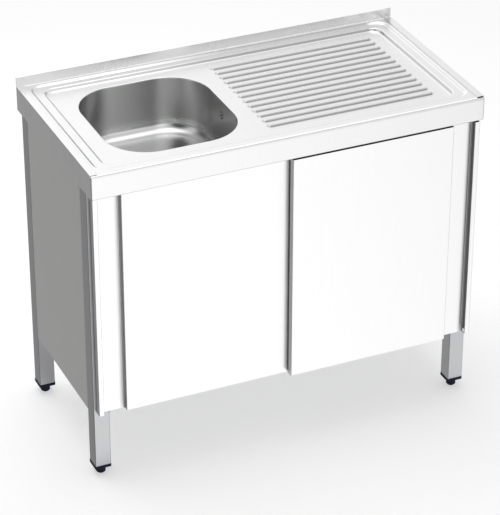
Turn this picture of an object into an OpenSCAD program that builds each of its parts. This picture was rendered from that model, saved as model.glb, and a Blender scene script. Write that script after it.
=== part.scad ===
/* [Cabinet] */
// Width over the worktop
cabinet_w = 1000; // [900:10:1400]
// Depth over the worktop
cabinet_d = 500; // [480:10:700]
// Height of the worktop rim above the floor, feet screwed home
worktop_h = 840; // [740:10:950]
// Height of the cabinet body's lower edge above the floor
body_lift = 175; // [120:5:250]

/* [Worktop] */
// Thickness of the worktop sheet
top_t = 1.2; // [1:0.1:2]
// Height of the apron and side skirts
apron_h = 60; // [45:1:75]
// Depth of the folded lip under the apron and skirts
apron_lip = 12; // [8:1:12]
// Radius of the rounded front edge
nose_r = 8; // [5:1:12]
// Height of the upstand along the back
upstand_h = 26; // [15:1:60]
// Thickness of the folded upstand
upstand_t = 2.6; // [2.2:0.1:4]
// Width of the raised hem along each side
hem_w = 18; // [12:1:22]
// Height of the raised hem
hem_rise = 1.6; // [1:0.1:3]
// Length of the open notch at the front end of each hem
hem_notch = 7; // [4:1:12]

/* [Pressed pan] */
// Rim between the front edge and the pan
rim_front = 30; // [26:1:50]
// Rim between the back edge and the pan
rim_back = 17; // [12:1:50]
// Rim between each side edge and the pan
rim_side = 30; // [26:1:60]
// Drop from the rim to the outer step
step_drop = 4; // [3:0.5:8]
// Plan radius of the outer step's corners
step_r = 24; // [12:1:40]
// Distance from the outer step to the tray at the front
tray_front = 21; // [15:1:40]
// Distance from the outer step to the tray at the back
tray_back = 22; // [15:1:40]
// Distance from the outer step to the tray at the sides
tray_side = 27; // [15:1:40]
// Drop from the outer step to the tray
tray_drop = 7; // [4:0.5:12]
// Plan radius of the tray's corners
tray_r = 21; // [12:1:40]

/* [Draining ribs] */
// Spacing of the ribs
rib_pitch = 27.8; // [24:0.1:40]
// Width of one rib
rib_w = 14; // [8:0.5:18]
// Height of one rib
rib_rise = 4; // [2.5:0.5:6]
// Least distance from the tray's edge to a rib's middle
rib_margin = 32; // [20:1:60]
// Distance from the bowl opening to the ribs
rib_gap = 43; // [25:1:80]
// Distance from the ribs to the tray's far edge
rib_end_gap = 36; // [20:1:80]
// How far the rows of ribs lie in front of the tray's middle
rib_forward = 1; // [0:0.5:6]

/* [Bowl] */
// Bowl opening from left to right
bowl_w = 328; // [280:1:400]
// Bowl opening from front to back
bowl_l = 356; // [300:1:370]
// Bowl depth below the tray
bowl_depth = 145; // [110:1:200]
// Plan radius of the bowl's corners
bowl_r = 107; // [70:1:120]
// Fillet between the bowl's walls and floor
bowl_fillet = 30; // [15:1:34]
// Thickness of the bowl sheet
bowl_t = 1; // [0.8:0.1:1.5]
// Distance from the tray's left edge to the bowl opening
bowl_side = 44; // [30:1:80]
// Bowl centre in front of the tray's centre
bowl_forward = 2; // [0:1:12]

/* [Waste and overflow] */
// Radius of the waste hole in the bowl's floor
waste_hole_r = 24; // [20:1:30]
// Radius of the strainer flange
waste_flange_r = 36; // [34:1:45]
// Outside radius of the threaded outlet
outlet_r = 23.9; // [16:0.1:24]
// Length of the threaded outlet
outlet_l = 28; // [20:1:40]
// Depth of the overflow's middle below the tray
overflow_drop = 38; // [30:1:60]
// Radius of the overflow's ring of holes
overflow_ring_r = 8.5; // [7:0.5:10]
// Radius of one overflow hole
overflow_hole_r = 2.6; // [1.5:0.1:3]
// Outside radius of the overflow pipe
pipe_r = 9; // [7:0.5:11]

/* [Legs and feet] */
// Side of the square leg tube
leg_s = 40; // [35:1:50]
// Wall of the leg tube
leg_t = 1.2; // [1:0.1:2]
// Distance from the side of the worktop to the leg
leg_in = 1; // [1:0.5:4]
// Distance from the back of the worktop to the back legs
leg_back_in = 28; // [22:1:60]
// Thickness of the plug's plate under the tube
plug_plate = 8; // [4:0.5:12]
// Length of the plug inside the tube
plug_l = 28; // [20:1:40]
// Height of the foot knob
knob_h = 22; // [15:1:30]
// Radius of the foot knob
knob_r = 12; // [9:0.5:15]
// Radius of the threaded stud
stud_r = 5; // [4:0.5:6]
// How far each foot can be let down
foot_travel = 25; // [10:1:30]

/* [Panels] */
// Thickness of the side, back and shelf sheets
panel_t = 0.8; // [0.7:0.1:1.5]
// Width of the folded flanges
flange = 15; // [10:1:20]
// Depth of the shelf's folded edges
shelf_h = 40; // [25:1:60]
// Side of the square top rails
rail_s = 25; // [20:1:30]
// Wall of the top rails
rail_t = 1.5; // [1:0.1:2]

/* [Doors] */
// Thickness of a door
door_t = 16.5; // [15.5:0.5:24]
// Thickness of the door sheets
skin_t = 0.8; // [0.6:0.1:1.2]
// Distance from the apron's face back to the front door
door_front_gap = 0.5; // [0.2:0.1:3]
// Gap between the two doors
door_gap = 4.5; // [3:0.5:6]
// Gap between the rear door and the legs
leg_gap = 1; // [0.8:0.1:3]
// Gap between the apron and the doors
door_top_gap = 4; // [2:0.5:6]
// Distance from the body's lower edge up to the doors
door_lift = 9; // [6:1:20]
// Distance from the worktop's side to a closed door
door_edge = 9; // [4:1:20]
// How far the rear door runs on behind the front one
door_overlap = 24; // [15:1:40]
// Width of the strip outside the handle channel
strip_w = 13; // [10:1:25]
// Width of the handle channel
channel_w = 57; // [40:1:80]
// Radius in the back corners of the handle channel
channel_r = 9; // [4:1:12]
// Height of the relief at the foot of the strip's inner wall
channel_relief = 12; // [6:1:30]
// Part of the main panel that stays clear when a door is open
door_show = 36; // [24:1:80]

/* [Running gear] */
// Radius of a door roller
roller_r = 9; // [7:0.5:11]
// Width of a door roller
roller_w = 6; // [4:0.5:8]
// Radius of a roller's axle pin
axle_r = 2.5; // [2:0.1:3]
// Thickness of the hanger plates
hanger_t = 2.5; // [2:0.5:3]
// Width of a hanger plate
hanger_w = 40; // [30:1:60]
// Height of a hanger plate inside the door
hanger_h = 60; // [40:1:90]
// Distance from the handle channel to the hanger beside it
hanger_side = 4; // [1:1:40]
// Wall of the twin track
track_t = 1.5; // [1.2:0.1:2]
// Height of the track above the apron's lower edge
track_lift = 10; // [8:1:20]
// Length of one rubber stop
stop_l = 10; // [6:1:20]

/* [Hidden] */
$fn = 64;

steel = [0.80, 0.81, 0.82];
bright_steel = [0.90, 0.90, 0.91];
dull_steel = [0.62, 0.64, 0.66];
navy = [0.11, 0.16, 0.36];
pale_plastic = [0.88, 0.88, 0.86];
dark_rubber = [0.12, 0.12, 0.13];

// fits and clearances
fit = 0.3;          // between pieces that must not touch
running = 0.06;     // radial, shaft in bore
seam = 0.1;         // between a plug and its tube
over = 1;           // how far a cutting shape runs past what it cuts

half_w = cabinet_w/2;
front_y = -cabinet_d/2;
back_y = cabinet_d/2;
apron_z = worktop_h - apron_h;
skirt_in = half_w - top_t;

// pressed pan
step_w = cabinet_w - 2*rim_side;
step_y0 = front_y + rim_front;
step_y1 = back_y - rim_back;
step_l = step_y1 - step_y0;
step_cy = (step_y0 + step_y1)/2;
step_z = worktop_h - step_drop;
tray_w = step_w - 2*tray_side;
tray_y0 = step_y0 + tray_front;
tray_y1 = step_y1 - tray_back;
tray_l = tray_y1 - tray_y0;
tray_cy = (tray_y0 + tray_y1)/2;
tray_z = step_z - tray_drop;
under_z = tray_z - top_t;

bowl_x = -tray_w/2 + bowl_side + bowl_w/2;
bowl_y = tray_cy - bowl_forward;
bowl_right = bowl_x + bowl_w/2;
floor_z = tray_z - bowl_depth;
bowl_under = floor_z - bowl_t;
bowl_flange = 6;    // width of the bowl's welding flange

rib_n = floor((tray_l - 2*rib_margin)/rib_pitch) + 1;
rib_x0 = bowl_right + rib_gap;
rib_x1 = tray_w/2 - rib_end_gap;
rib_arc = (rib_w*rib_w/4 + rib_rise*rib_rise)/(2*rib_rise);

stiff_w = 40;       // crown of a hat-section stiffener
stiff_h = 20;       // height of a hat section
stiff_lip = 12;     // each lip of a hat section
stiff_t = 1.2;      // sheet of a hat section
stiff_rows = 210;   // distance between the two stiffeners

// waste and overflow
strainer_t = 2;
strainer_neck = 12;
gasket_t = 3;
cup_r = 29;
cup_h = 42;
cup_flange = 3;
inlet_l = 16;       // side inlet beyond the cup
outlet_t = 3.5;
screw_r = 3;
screw_head_r = 6;
pipe_t = 1.5;
pipe_bend = 24;
socket_t = 1;       // wall of the bend's sockets outside the pipe
socket_l = 8;
overflow_z = tray_z - overflow_drop;
housing_r = 16;
housing_l = 2*(pipe_r + fit + pipe_t) + over;
housing_t = 2;
body_top = bowl_under - gasket_t;
pipe_z = body_top - cup_flange - cup_h/2;
pipe_x = bowl_right + bowl_t + gasket_t + housing_l/2;

// legs and feet
leg_front_in = door_front_gap + 2*door_t + door_gap + leg_gap;
leg_x = half_w - leg_in - leg_s/2;
leg_y0 = front_y + leg_front_in + leg_s/2;
leg_y1 = back_y - leg_back_in - leg_s/2;
plate_over = min(leg_in, 1);
leg_z0 = knob_h + plug_plate;
knob_chamfer = 4;
stud_l = foot_travel + plug_plate + plug_l;

// panels
panel_y0 = leg_y0 + leg_s/2;
panel_y1 = leg_y1 - leg_s/2;
panel_x = half_w - leg_in;
back_face = leg_y1 + leg_s/2;
bay_x = leg_x - leg_s/2;
shelf_z = body_lift + panel_t + shelf_h;

// doors
door_z0 = body_lift + door_lift;
door_z1 = apron_z - door_top_gap;
door_h = door_z1 - door_z0;
door_out = half_w - door_edge;
front_door_y = front_y + door_front_gap;
rear_door_y = front_door_y + door_t + door_gap;
front_door_w = door_out;
rear_door_w = door_out + door_overlap;
skin_d = door_t - skin_t;
channel_d = skin_d - skin_t;
travel = door_out - strip_w - channel_w - door_show;

// running gear, measured from a door's front face
plate_y = skin_d - hanger_t;
hanger_in = strip_w + channel_w + skin_t + fit + hanger_side + hanger_w/2;
roller_y = plate_y - over - roller_w;
track_z = apron_z + track_lift;
roller_z = track_z + track_t + fit + roller_r;
track_h = 2*track_t + 2*roller_r + 2*over;
side_room = 1;      // roller to track wall
back_room = 4;      // hanger plate to track wall
plate_room = 1.2;   // hanger plate to track lip
door_lip = plate_y - 1.5;
core_gap = 4;       // from the board to a hanger or a guide tongue
boss = 1.2;         // height of a rivet or screw head
boss_r = 4;

// rounded rectangle about the origin
module round_plate(w, l, r) {
  square([w - 2*r, l], center = true);
  square([w, l - 2*r], center = true);
  for (sx = [-1, 1], sy = [-1, 1]) translate([sx*(w/2 - r), sy*(l/2 - r)]) circle(r);
}

// one wall of a pressed basin in section: r wide, f its lower fillet
module basin_section(r, f, depth) {
  difference() {
    translate([0, -depth]) square([r, depth]);
    translate([r - f, -depth]) difference() {
      square([f, f]);
      translate([0, f]) circle(f);
    }
  }
}

// basin with rounded plan corners and a filleted floor, its top at z = 0
module basin(w, l, r, f, depth) {
  for (a = [0, 1]) mirror([a, 0, 0]) {
    translate([w/2 - r, -(l/2 - r), 0]) rotate([90, 0, 180]) mirror([1, 0, 0])
      linear_extrude(l - 2*r) basin_section(r, f, depth);
    for (b = [0, 1]) mirror([0, b, 0]) translate([w/2 - r, l/2 - r, 0])
      rotate_extrude(angle = 90) basin_section(r, f, depth);
  }
  for (b = [0, 1]) mirror([0, b, 0]) translate([-(w/2 - r), 0, 0]) rotate([90, 0, 90])
    linear_extrude(w - 2*r) {
      translate([0, -depth]) square([l/2 - r, depth]);
      translate([l/2 - r, 0]) basin_section(r, f, depth);
    }
}

// outline of the worktop seen from the side, d inside its faces
module top_section(d) {
  r = nose_r - d;
  difference() {
    translate([front_y + d, apron_z]) square([cabinet_d - 2*d, apron_h - d]);
    translate([front_y + d, worktop_h - d - r]) difference() {
      square([r, r]);
      translate([r, 0]) circle(r);
    }
  }
}

module along_x(w) { translate([-w/2, 0, 0]) rotate([90, 0, 90]) linear_extrude(w) children(); }

// hem along one side, open at its front end
module side_hem() {
  y0 = front_y + hem_notch;
  hem_l = back_y - upstand_t - y0;
  translate([half_w - hem_w, y0, worktop_h]) {
    translate([0, 0, hem_rise - top_t/2]) cube([hem_w, hem_l + upstand_t/2, top_t/2]);
    for (x = [0, hem_w - top_t]) translate([x, 0, -top_t/2]) cube([top_t, hem_l + upstand_t/2, hem_rise + top_t/2]);
  }
}

module ribs() {
  rib_l = rib_x1 - rib_x0;
  for (i = [0 : rib_n - 1]) translate([rib_x0, tray_cy - rib_forward + (i - (rib_n - 1)/2)*rib_pitch, tray_z])
    intersection() {
      translate([0, 0, rib_rise - rib_arc]) rotate([0, 90, 0]) cylinder(r = rib_arc, h = rib_l);
      translate([rib_l/2, 0, -top_t/2]) linear_extrude(rib_rise + top_t) round_plate(rib_l, rib_w, rib_w/2 - 0.01);
    }
}

module worktop() {
  color(bright_steel) difference() {
    union() {
      difference() {
        along_x(cabinet_w) top_section(0);
        along_x(cabinet_w - 2*top_t) intersection() {
          top_section(top_t);
          translate([front_y + top_t, apron_z + top_t]) square([cabinet_d - 2*top_t, apron_h]);
        }
        // the open middle inside the folded lips
        translate([-skirt_in + apron_lip, front_y + top_t + apron_lip, apron_z - over])
          cube([2*(skirt_in - apron_lip), cabinet_d - 2*(top_t + apron_lip), top_t + 2*over]);
        translate([0, step_cy, step_z]) linear_extrude(step_drop + over) round_plate(step_w, step_l, step_r);
      }
      // walls and floors of the two steps
      difference() {
        union() {
          translate([0, step_cy, step_z - top_t]) linear_extrude(step_drop + top_t/2)
            round_plate(step_w + 2*top_t, step_l + 2*top_t, step_r + top_t);
          translate([0, tray_cy, under_z]) linear_extrude(tray_drop + top_t/2)
            round_plate(tray_w + 2*top_t, tray_l + 2*top_t, tray_r + top_t);
        }
        translate([0, step_cy, step_z]) linear_extrude(step_drop) round_plate(step_w, step_l, step_r);
        translate([0, tray_cy, tray_z]) linear_extrude(tray_drop + over) round_plate(tray_w, tray_l, tray_r);
      }
      ribs();
      translate([-half_w, back_y - upstand_t, worktop_h - top_t]) cube([cabinet_w, upstand_t, upstand_h + top_t]);
      for (a = [0, 1]) mirror([a, 0, 0]) side_hem();
    }
    translate([bowl_x, bowl_y, under_z - over]) linear_extrude(top_t + 2*over) round_plate(bowl_w, bowl_l, bowl_r);
    // the open front corner beside each hem
    for (a = [0, 1]) mirror([a, 0, 0]) translate([half_w - hem_w, front_y - over, worktop_h - top_t - over])
      cube([hem_w - top_t, hem_notch + over, top_t + 2*over]);
  }
}

module bowl() {
  color(steel) difference() {
    union() {
      translate([bowl_x, bowl_y, under_z])
        basin(bowl_w + 2*bowl_t, bowl_l + 2*bowl_t, bowl_r + bowl_t, bowl_fillet + bowl_t, under_z - bowl_under);
      translate([bowl_x, bowl_y, under_z - bowl_t]) linear_extrude(bowl_t)
        round_plate(bowl_w + 2*bowl_flange, bowl_l + 2*bowl_flange, bowl_r + bowl_flange);
    }
    translate([bowl_x, bowl_y, tray_z]) basin(bowl_w, bowl_l, bowl_r, bowl_fillet, bowl_depth);
    translate([bowl_x, bowl_y, bowl_under - over]) cylinder(r = waste_hole_r, h = bowl_t + 2*over);
    translate([bowl_right - over, bowl_y, overflow_z]) rotate([0, 90, 0]) overflow_holes(bowl_t + 2*over);
  }
}

module overflow_holes(l) {
  cylinder(r = overflow_hole_r, h = l);
  for (i = [0 : 5]) rotate([0, 0, i*60]) translate([overflow_ring_r, 0, 0]) cylinder(r = overflow_hole_r, h = l);
}

// hat section in the y-z plane, its lips touching z = 0 from below
module hat_section() {
  w = stiff_w/2;
  for (a = [0, 1]) mirror([a, 0]) {
    translate([w - stiff_t, -stiff_t]) square([stiff_lip + stiff_t, stiff_t]);
    translate([w - stiff_t, -stiff_h]) square([stiff_t, stiff_h]);
    translate([0, -stiff_h]) square([w, stiff_t]);
  }
}

module drainer_stiffener(side) {
  x0 = rib_x0 - rib_gap/3;
  x1 = tray_w/2 - flange;
  color(dull_steel) translate([(x0 + x1)/2, tray_cy + side*stiff_rows/2, under_z])
    along_x(x1 - x0) hat_section();
}
module drainer_stiffener_front() { drainer_stiffener(-1); }
module drainer_stiffener_back() { drainer_stiffener(1); }

// strainer with a ring of holes, its neck down through the bowl's floor
module waste_strainer() {
  color(bright_steel) translate([bowl_x, bowl_y, floor_z]) difference() {
    union() {
      cylinder(r = waste_flange_r, h = strainer_t);
      translate([0, 0, -strainer_neck]) cylinder(r = waste_hole_r - fit, h = strainer_neck + strainer_t/2);
    }
    translate([0, 0, -strainer_neck - over]) cylinder(r = waste_hole_r - fit - bowl_t, h = strainer_neck + over);
    for (i = [0 : 7]) rotate([0, 0, i*45]) translate([waste_hole_r*0.62, 0, -over])
      cylinder(r = waste_hole_r/7, h = strainer_t + 2*over);
    translate([0, 0, -over]) cylinder(r = screw_r + running, h = strainer_t + 2*over);
  }
}

module waste_screw() {
  color(bright_steel) translate([bowl_x, bowl_y, floor_z + strainer_t]) {
    cylinder(r = screw_head_r, h = boss);
    translate([0, 0, -screw_l()]) cylinder(r = screw_r, h = screw_l() + boss/2);
  }
}
function screw_l() = strainer_t + floor_z - (body_top - cup_flange - cup_h/3);

module waste_gasket() {
  color(dark_rubber) translate([bowl_x, bowl_y, body_top]) difference() {
    cylinder(r = waste_flange_r, h = gasket_t);
    translate([0, 0, -over]) cylinder(r = waste_hole_r + fit, h = gasket_t + 2*over);
  }
}

// cup under the bowl with a bridge for the screw, a side inlet and the threaded outlet
module waste_body() {
  cup_z = body_top - cup_flange - cup_h;
  color(pale_plastic) translate([bowl_x, bowl_y, 0]) {
    difference() {
      union() {
        translate([0, 0, body_top - cup_flange]) cylinder(r = waste_flange_r, h = cup_flange);
        translate([0, 0, cup_z]) cylinder(r = cup_r, h = cup_h + cup_flange/2);
        translate([0, 0, cup_z - outlet_l]) cylinder(r = outlet_r, h = outlet_l + over);
        translate([0, 0, pipe_z]) rotate([0, 90, 0]) cylinder(r = pipe_r + pipe_t + fit, h = cup_r + inlet_l);
      }
      translate([0, 0, cup_z + 3]) cylinder(r = cup_r - 3, h = cup_h + cup_flange);
      translate([0, 0, cup_z - outlet_l - over]) cylinder(r = outlet_r - outlet_t, h = outlet_l + 6);
      translate([0, 0, pipe_z]) rotate([0, 90, 0]) cylinder(r = pipe_r + fit, h = cup_r + inlet_l + over);
    }
    difference() {
      translate([-(cup_r - 2), -5, body_top - cup_flange - cup_h/3 - 8]) cube([2*(cup_r - 2), 10, 8]);
      translate([0, 0, body_top - cup_flange - cup_h/3 - 9]) cylinder(r = screw_r + running, h = 10);
    }
  }
}

module overflow_gasket() {
  color(dark_rubber) translate([bowl_right + bowl_t, bowl_y, overflow_z]) rotate([0, 90, 0]) difference() {
    cylinder(r = housing_r, h = gasket_t);
    translate([0, 0, -over]) cylinder(r = housing_r - 3, h = gasket_t + 2*over);
  }
}

module overflow_housing() {
  x0 = bowl_right + bowl_t + gasket_t;
  spigot_l = housing_r + 14;
  color(pale_plastic) translate([x0, bowl_y, overflow_z]) difference() {
    union() {
      rotate([0, 90, 0]) cylinder(r = housing_r, h = housing_l);
      translate([housing_l/2, 0, -spigot_l]) cylinder(r = pipe_r + fit + pipe_t, h = spigot_l);
    }
    translate([-over, 0, 0]) rotate([0, 90, 0]) cylinder(r = housing_r - housing_t, h = housing_l - housing_t + over);
    translate([housing_l/2, 0, -spigot_l - over]) cylinder(r = pipe_r + fit, h = spigot_l);
  }
}

// pipe from the overflow down and round into the waste body, its bend in two sockets
module overflow_pipe() {
  top = overflow_z - housing_r - 4;
  end = bowl_x + cup_r + 4;
  color(pale_plastic) difference() {
    union() {
      pipe_run(pipe_r, top, end, 0);
      translate([pipe_x, bowl_y, pipe_z + pipe_bend - socket_l/2]) cylinder(r = pipe_r + socket_t, h = socket_l);
      translate([pipe_x - pipe_bend - socket_l/2, bowl_y, pipe_z]) rotate([0, 90, 0])
        cylinder(r = pipe_r + socket_t, h = socket_l);
    }
    pipe_run(pipe_r - pipe_t, top, end, over);
  }
}
module pipe_run(r, top, end, past) {
  translate([pipe_x, bowl_y, pipe_z + pipe_bend]) cylinder(r = r, h = top - pipe_z - pipe_bend + past);
  translate([pipe_x - pipe_bend, bowl_y, pipe_z + pipe_bend]) rotate([90, 0, 0]) rotate([0, 0, -90])
    rotate_extrude(angle = 90) translate([pipe_bend, 0]) circle(r);
  translate([end - past, bowl_y, pipe_z]) rotate([0, 90, 0])
    cylinder(r = r, h = pipe_x - pipe_bend - end + past);
}

module leg(sx, y) {
  color(dull_steel) translate([sx*leg_x, y, leg_z0]) linear_extrude(apron_z - leg_z0) difference() {
    square(leg_s, center = true);
    square(leg_s - 2*leg_t, center = true);
  }
}
module leg_front_left() { leg(-1, leg_y0); }
module leg_front_right() { leg(1, leg_y0); }
module leg_back_left() { leg(-1, leg_y1); }
module leg_back_right() { leg(1, leg_y1); }

module leg_plug(sx, y) {
  plate = leg_s + 2*plate_over;
  core = leg_s - 2*leg_t - 2*seam;
  color(navy) translate([sx*leg_x, y, knob_h]) difference() {
    union() {
      translate([-plate/2, -plate/2, 0]) cube([plate, plate, plug_plate]);
      translate([-core/2, -core/2, 0]) cube([core, core, plug_plate + plug_l]);
    }
    translate([0, 0, -over]) cylinder(r = stud_r + running, h = plug_plate + plug_l + 2*over);
  }
}
module leg_plug_front_left() { leg_plug(-1, leg_y0); }
module leg_plug_front_right() { leg_plug(1, leg_y0); }
module leg_plug_back_left() { leg_plug(-1, leg_y1); }
module leg_plug_back_right() { leg_plug(1, leg_y1); }

module foot(sx, y) {
  color(navy) translate([sx*leg_x, y, 0]) {
    rotate_extrude() polygon([
      [0, 0], [knob_r - knob_chamfer, 0], [knob_r, knob_chamfer], [knob_r, knob_h], [0, knob_h]
    ]);
    translate([0, 0, knob_h/2]) cylinder(r = stud_r, h = knob_h/2 + stud_l);
  }
}
module foot_front_left() { foot(-1, leg_y0); }
module foot_front_right() { foot(1, leg_y0); }
module foot_back_left() { foot(-1, leg_y1); }
module foot_back_right() { foot(1, leg_y1); }

// side panel between the legs, flanges turned inwards
module side_panel(a) {
  l = panel_y1 - panel_y0;
  h = apron_z - body_lift;
  color(steel) mirror([a, 0, 0]) translate([panel_x, panel_y0, body_lift]) {
    translate([-panel_t, 0, 0]) cube([panel_t, l, h]);
    for (y = [0, l - panel_t]) translate([-flange, y, 0]) cube([flange, panel_t, h]);
    translate([-flange, 0, 0]) cube([flange, l, panel_t]);
  }
}
module side_panel_left() { side_panel(1); }
module side_panel_right() { side_panel(0); }

module back_panel() {
  h = apron_z - body_lift;
  color(steel) translate([-bay_x, back_face, body_lift]) {
    translate([0, -panel_t, 0]) cube([2*bay_x, panel_t, h]);
    for (x = [0, 2*bay_x - panel_t]) translate([x, -flange, 0]) cube([panel_t, flange, h]);
    translate([0, -flange, 0]) cube([2*bay_x, flange, panel_t]);
  }
}

// shelf tray with its edges folded down, notched round the legs
module bottom_shelf() {
  x1 = panel_x - panel_t;
  y0 = leg_y0 - leg_s/2;
  y1 = back_face - panel_t;
  z0 = body_lift + panel_t;
  color(steel) difference() {
    union() {
      translate([-x1, y0, shelf_z - panel_t]) cube([2*x1, y1 - y0, panel_t]);
      translate([-bay_x, y0, z0]) cube([2*bay_x, panel_t, shelf_h]);
      translate([-bay_x, y0, z0]) cube([2*bay_x, flange, panel_t]);
      translate([-bay_x + flange, y1 - panel_t, z0]) cube([2*(bay_x - flange), panel_t, shelf_h]);
      for (a = [0, 1]) mirror([a, 0, 0])
        translate([x1 - panel_t, panel_y0 + flange, z0]) cube([panel_t, panel_y1 - panel_y0 - 2*flange, shelf_h]);
    }
    // room for the legs and the panels' folded edges
    for (sx = [-1, 1]) {
      translate([sx*leg_x, leg_y0 + panel_t/2, shelf_z]) cube([leg_s + fit, leg_s + panel_t + fit, 3*shelf_h], center = true);
      translate([sx*leg_x, leg_y1 - panel_t/2, shelf_z]) cube([leg_s + fit, leg_s + panel_t + fit, 3*shelf_h], center = true);
      translate([sx*(bay_x - panel_t/2), back_face - flange/2, shelf_z])
        cube([panel_t + fit, flange + fit, 3*shelf_h], center = true);
    }
  }
}

module shelf_stiffener() {
  color(dull_steel) translate([0, (panel_y0 + panel_y1)/2, shelf_z - panel_t])
    along_x(2*(bay_x - flange)) hat_section();
}

module tube_section() {
  difference() {
    square(rail_s);
    translate([rail_t, rail_t]) square(rail_s - 2*rail_t);
  }
}
module side_rail(a) {
  l = panel_y1 - panel_y0 - 2*panel_t;
  color(dull_steel) mirror([a, 0, 0]) translate([panel_x - panel_t - rail_s, panel_y1 - panel_t, apron_z - rail_s])
    rotate([90, 0, 0]) linear_extrude(l) tube_section();
}
module side_rail_left() { side_rail(1); }
module side_rail_right() { side_rail(0); }

module back_rail() {
  color(dull_steel) translate([0, back_face - panel_t - rail_s, apron_z - rail_s])
    along_x(2*(bay_x - panel_t)) tube_section();
}

// section of the twin track, one channel for each door, its lip under the rollers
module channel_section() {
  in_w = side_room + roller_w + over + hanger_t + back_room;
  translate([roller_y - side_room - track_t, 0]) {
    square([track_t, track_h]);
    translate([in_w + track_t, 0]) square([track_t, track_h]);
    translate([0, track_h - track_t]) square([in_w + 2*track_t, track_t]);
    square([plate_y - plate_room - (roller_y - side_room - track_t), track_t]);
  }
}
module door_track() {
  y0 = roller_y - side_room - track_t;
  color(dull_steel) along_x(2*skirt_in) {
    translate([front_door_y, track_z]) channel_section();
    translate([rear_door_y, track_z]) channel_section();
    translate([front_door_y + y0, track_z + track_h - track_t])
      square([rear_door_y - front_door_y + track_t, track_t]);
  }
}

// rail between the worktop and the twin track
rail_y0 = max(front_door_y + roller_y - side_room - track_t, front_y + nose_r);
rail_w = min(step_y0 - top_t, rear_door_y + roller_y) - fit - rail_y0;
rail_z0 = track_z + track_h;
module front_rail() {
  h = worktop_h - top_t - rail_z0;
  color(dull_steel) along_x(2*skirt_in) translate([rail_y0, rail_z0]) {
    translate([0, h - track_t]) square([rail_w, track_t]);
    translate([rail_w - track_t, 0]) square([track_t, h]);
    square([rail_w, track_t]);
  }
}

// screws through the rail's foot into the track
track_screw_side = 100;   // from the last screw to the worktop's side
track_screw_n = 5;
track_screw_pitch = (cabinet_w - 2*track_screw_side)/(track_screw_n - 1);
module track_screws() {
  color(bright_steel) for (i = [0 : track_screw_n - 1])
    translate([(i - (track_screw_n - 1)/2)*track_screw_pitch, rail_y0 + rail_w/2 - over, rail_z0 + track_t])
      cylinder(r = boss_r, h = boss + over);
}

// screws up through the top rails into the worktop's lips
module rail_screws() {
  color(bright_steel) for (a = [0, 1]) mirror([a, 0, 0]) for (k = [0.2, 0.8])
    translate([skirt_in - apron_lip/2, panel_y0 + k*(panel_y1 - panel_y0), apron_z + top_t])
      cylinder(r = boss_r, h = boss + over);
}

// travel stops, a pair in each channel
hang_out = door_out - hanger_in;
stop_gap = 0.5;
module track_stops() {
  y0 = roller_y - side_room;
  in_w = side_room + roller_w + over + hanger_t + back_room;
  far = hang_out - (front_door_w - 2*hanger_in) - travel;
  rear_far = hang_out - (rear_door_w - 2*hanger_in) - travel;
  clear = hanger_w/2 + stop_gap;
  color(dark_rubber) {
    for (x = [hang_out + clear, far - clear - stop_l]) translate([x, front_door_y + y0, track_z + track_t])
      cube([stop_l, in_w, track_h - 2*track_t]);
    for (x = [hang_out + clear, rear_far - clear - stop_l]) translate([-x - stop_l, rear_door_y + y0, track_z + track_t])
      cube([stop_l, in_w, track_h - 2*track_t]);
  }
}

// guide under the shelf with one tongue up into each door
guide_t = 1.2;
tongue_t = 1.6;
tongue_h = 12;      // tongue above the door's lower edge
tongue_side = 5;    // tongue to the door's nearest fold
tongue_y = (door_lip + skin_d - tongue_t)/2;
module door_guide() {
  z0 = body_lift + panel_t - guide_t;
  y1 = leg_y0 - leg_s/2 + flange;
  tongue_w = door_show - 2*tongue_side;
  color(pale_plastic) for (a = [0, 1]) mirror([a, 0, 0]) {
    y0 = tongue_y + (a == 0 ? front_door_y : rear_door_y);
    translate([tongue_side, y0, z0]) cube([tongue_w, tongue_t, door_z0 - z0 + tongue_h]);
    translate([tongue_side, y0, z0]) cube([tongue_w, y1 - y0, guide_t]);
    translate([-over, leg_y0 - leg_s/2, z0]) cube([tongue_side + tongue_w + over, flange, guide_t]);
  }
}
module guide_rivets() {
  y = leg_y0 - leg_s/2 + flange/2;
  color(bright_steel) for (sx = [-1, 1]) translate([sx*door_show/2, y, body_lift + panel_t - guide_t - boss])
    cylinder(r = boss_r, h = boss);
}

// door in plan: x from the outer edge inwards, y from the front face back
module door_plan(w) {
  x1 = strip_w + channel_w;
  difference() {
    square([w, skin_d]);
    translate([strip_w, -over]) difference() {
      square([channel_w, channel_d + over]);
      translate([0, channel_d + over - channel_r]) difference() {
        square(channel_r);
        translate([channel_r, 0]) circle(channel_r);
      }
      translate([channel_w - channel_r, channel_d + over - channel_r]) difference() {
        square(channel_r);
        circle(channel_r);
      }
    }
    translate([skin_t, skin_t]) square([strip_w - 2*skin_t, door_t]);
    translate([x1 + skin_t, skin_t]) square([w - x1 - 2*skin_t, door_t]);
  }
}

// folded front skin of a door, closed above and below by narrow lips
module door_front(w) {
  x1 = strip_w + channel_w;
  color(bright_steel) difference() {
    union() {
      linear_extrude(door_h) door_plan(w);
      for (z = [0, door_h - skin_t]) translate([0, 0, z]) {
        cube([strip_w, door_lip, skin_t]);
        translate([x1, 0, 0]) cube([w - x1, door_lip, skin_t]);
      }
    }
    // relief at the foot of the strip's inner wall
    translate([strip_w - skin_t - over, skin_t, -over])
      cube([skin_t + over + channel_r/3, channel_d - channel_r/2 - skin_t, channel_relief + over]);
  }
}

module door_back(w) { color(steel) translate([0, skin_d, 0]) cube([w, skin_t, door_h]); }

// stiff board that fills the main panel below the hangers
module door_core(w) {
  x0 = strip_w + channel_w + skin_t + fit;
  z0 = tongue_h + core_gap;
  color(pale_plastic) translate([x0, skin_t, z0])
    cube([w - x0 - skin_t - fit, skin_d - skin_t, door_h - z0 - hanger_h - core_gap]);
}

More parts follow.
